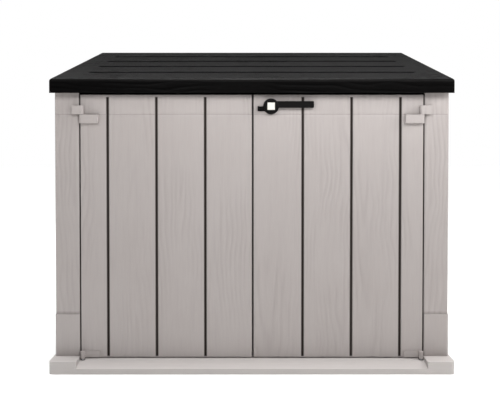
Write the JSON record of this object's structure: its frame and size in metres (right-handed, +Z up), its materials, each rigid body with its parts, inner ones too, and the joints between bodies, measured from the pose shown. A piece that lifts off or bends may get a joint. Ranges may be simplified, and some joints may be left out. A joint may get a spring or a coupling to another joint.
{
  "type": "deck storage box",
  "caption": "Horizontal resin garden store with planked walls, hinged front doors, a lifting planked lid, a lever latch and a slide bolt.",
  "frame": {"origin": "on the ground, under the middle of the box's overall bounding box", "axes": "+X to the right seen from the front, +Y to the rear, +Z up; the doors face -Y"},
  "size_m": [1.31, 0.79, 1.13],
  "materials": {
    "base_resin": "matt moulded resin",
    "wall_resin": "matt moulded resin with an embossed wood grain",
    "liner_resin": "smooth matt moulded resin",
    "lid_resin": "satin moulded resin with an embossed wood grain",
    "latch_resin": "satin moulded plastic",
    "cap_resin": "satin moulded plastic",
    "steel": "zinc plated",
    "screw_steel": "zinc plated",
    "rubber": "matt"
  },
  "bodies": {
    "carcass": {"base_tray": "base_resin", "pivot_bushes": "liner_resin", "bolt_keeper": "steel", "keeper_screws": "screw_steel", "left_side_panel": "wall_resin", "right_side_panel": "wall_resin", "rear_panel": "wall_resin", "rear_rail": "steel", "corner_screws": "screw_steel", "left_upper_bracket": "wall_resin", "right_upper_bracket": "wall_resin", "bracket_screws": "screw_steel", "upper_hinge_pins": "steel", "lid_bumpers": "rubber", "lid_hinge_body_leaves": "steel", "lid_hinge_pins": "steel", "body_leaf_screws": "screw_steel"},
    "left_door": {"left_door_skin": "wall_resin", "left_door_liner": "liner_resin", "left_hinge_block": "wall_resin", "left_pivot_block": "wall_resin", "left_pivot_pin": "steel", "left_door_screws": "screw_steel", "bolt_guides": "liner_resin", "guide_screws": "screw_steel"},
    "bolt": {"slide_bolt": "steel"},
    "right_door": {"right_door_skin": "wall_resin", "right_door_liner": "liner_resin", "right_hinge_block": "wall_resin", "right_pivot_block": "wall_resin", "right_pivot_pin": "steel", "right_door_screws": "screw_steel", "latch_rose": "latch_resin", "rose_screws": "screw_steel"},
    "latch": {"latch_handle": "latch_resin", "latch_cap": "cap_resin", "latch_cam": "steel", "cam_screw": "screw_steel"},
    "lid": {"lid_shell": "lid_resin", "lid_liner": "lid_resin", "lid_hinge_lid_leaves": "steel", "lid_leaf_screws": "screw_steel", "lid_liner_screws": "screw_steel"}
  },
  "joints": [
    {"name": "left_door_hinge", "type": "hinge", "parent": "carcass", "child": "left_door", "pos_m": [-0.558, -0.341, 0.03], "axis": [0, 0, -1], "range_deg": [0, 100]},
    {"name": "right_door_hinge", "type": "hinge", "parent": "carcass", "child": "right_door", "pos_m": [0.558, -0.341, 0.03], "axis": [0, 0, 1], "range_deg": [0, 100]},
    {"name": "lid_hinge", "type": "hinge", "parent": "carcass", "child": "lid", "pos_m": [0, 0.378, 1.07717], "axis": [-1, 0, 0], "range_deg": [0, 85]},
    {"name": "latch_turn", "type": "hinge", "parent": "right_door", "child": "latch", "pos_m": [0.063, -0.333, 0.865], "axis": [0, 1, 0], "range_deg": [0, 90]},
    {"name": "bolt_slide", "type": "slide", "parent": "left_door", "child": "bolt", "axis": [0, 0, -1], "range_m": [0, 0.025]}
  ]
}
